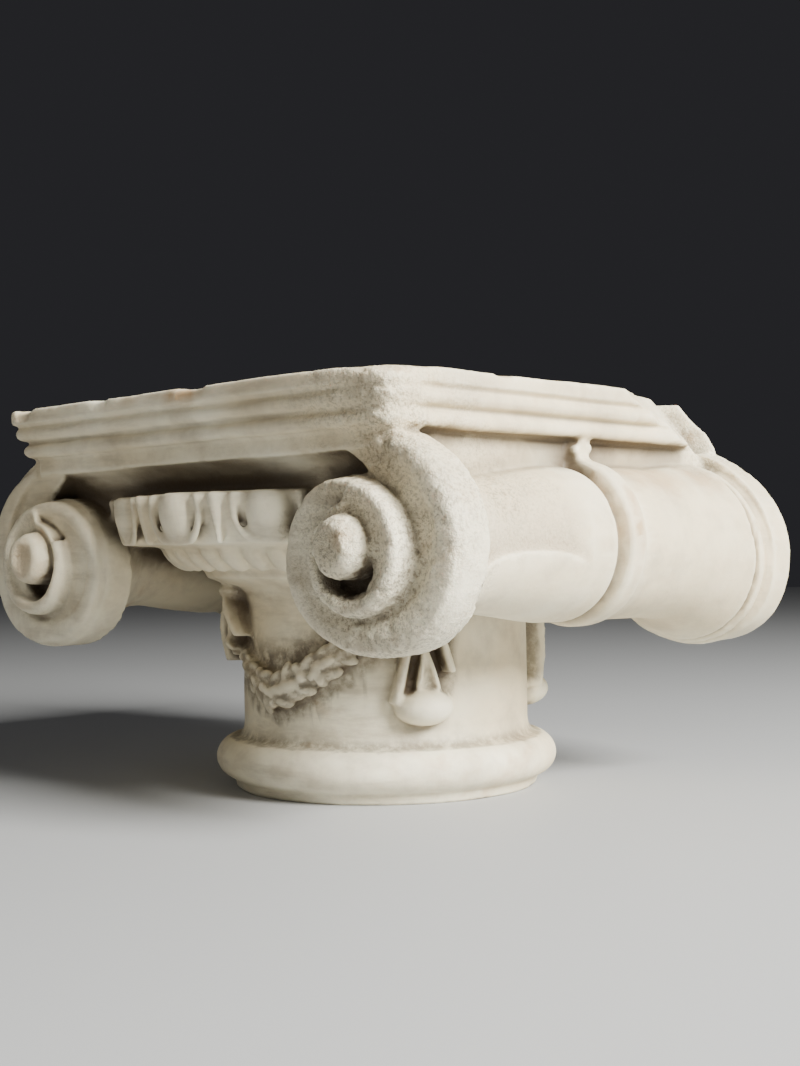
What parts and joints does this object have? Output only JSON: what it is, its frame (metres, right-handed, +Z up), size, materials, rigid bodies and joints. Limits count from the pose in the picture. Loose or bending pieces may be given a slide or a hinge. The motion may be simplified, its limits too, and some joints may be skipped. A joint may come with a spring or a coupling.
{
  "type": "ionic capital",
  "caption": "Small weathered marble Ionic capital: square moulded abacus, volutes, bolsters, egg-and-dart echinus and a short neck with a carved garland.",
  "frame": {"origin": "centre of the flat underside of the foot", "axes": "+Z up through the neck to the abacus; -Y and +Y out of the two volute faces; the bolsters lie along Y at -X and +X; the broken corner of the abacus is at +X +Y"},
  "size_m": [0.2677, 0.237, 0.155],
  "materials": {
    "marble": "weathered cream-white marble, smooth on the bolsters, sugary and pitted on the near volute and corner"
  },
  "bodies": {
    "root": {"capital": "marble"}
  },
  "joints": []
}
